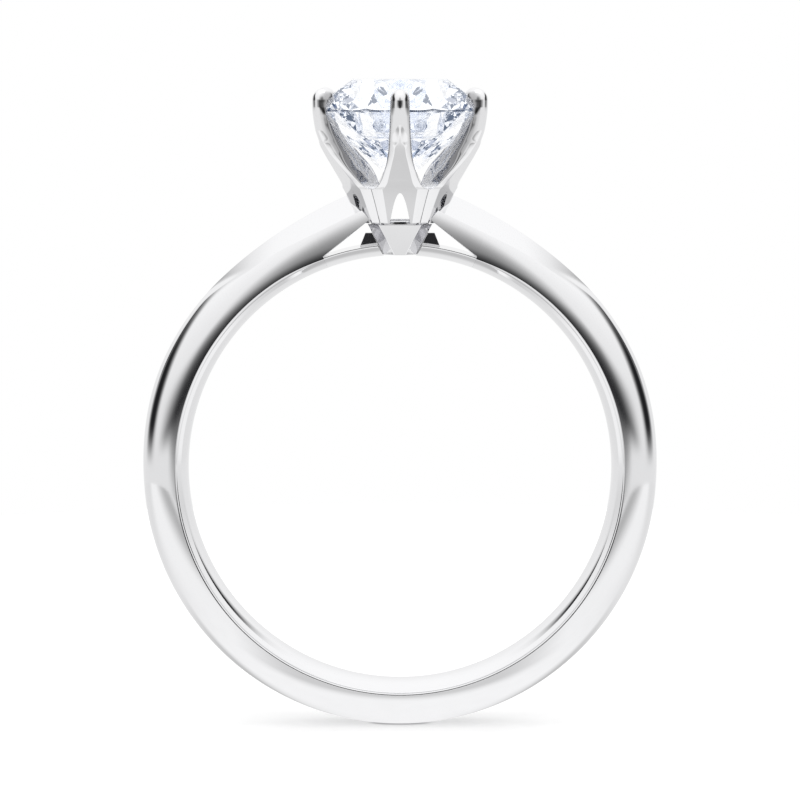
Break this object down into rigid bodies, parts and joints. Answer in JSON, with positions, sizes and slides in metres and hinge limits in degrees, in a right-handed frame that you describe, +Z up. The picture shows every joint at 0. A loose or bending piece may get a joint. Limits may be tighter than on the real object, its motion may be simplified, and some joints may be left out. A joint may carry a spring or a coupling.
{
  "type": "engagement ring",
  "caption": "Platinum solitaire ring: domed comfort-fit band with creased shoulders, claw head with arched windows, round brilliant stone.",
  "frame": {"origin": "bottom centre of the band, where the ring touches the table it stands on; the bore's centre is 10.52 mm above it", "axes": "+Z up through the head, +Y along the finger bore with the front facing -Y, +X across the ring to the right"},
  "size_m": [0.021, 0.0082, 0.0264],
  "materials": {
    "platinum_band": "high polish platinum",
    "platinum_bridge": "high polish platinum, solder seams at both ends",
    "platinum_head": "high polish platinum",
    "platinum_claw": "high polish platinum, burnished tips",
    "diamond": "polished colourless diamond, faceted girdle"
  },
  "bodies": {
    "root": {"shank": "platinum_band", "bridge_right": "platinum_bridge", "bridge_left": "platinum_bridge", "peg": "platinum_head", "gallery_ring": "platinum_head", "claw_1": "platinum_claw", "claw_2": "platinum_claw", "claw_3": "platinum_claw", "claw_4": "platinum_claw", "claw_5": "platinum_claw", "claw_6": "platinum_claw", "diamond": "diamond"}
  },
  "joints": []
}
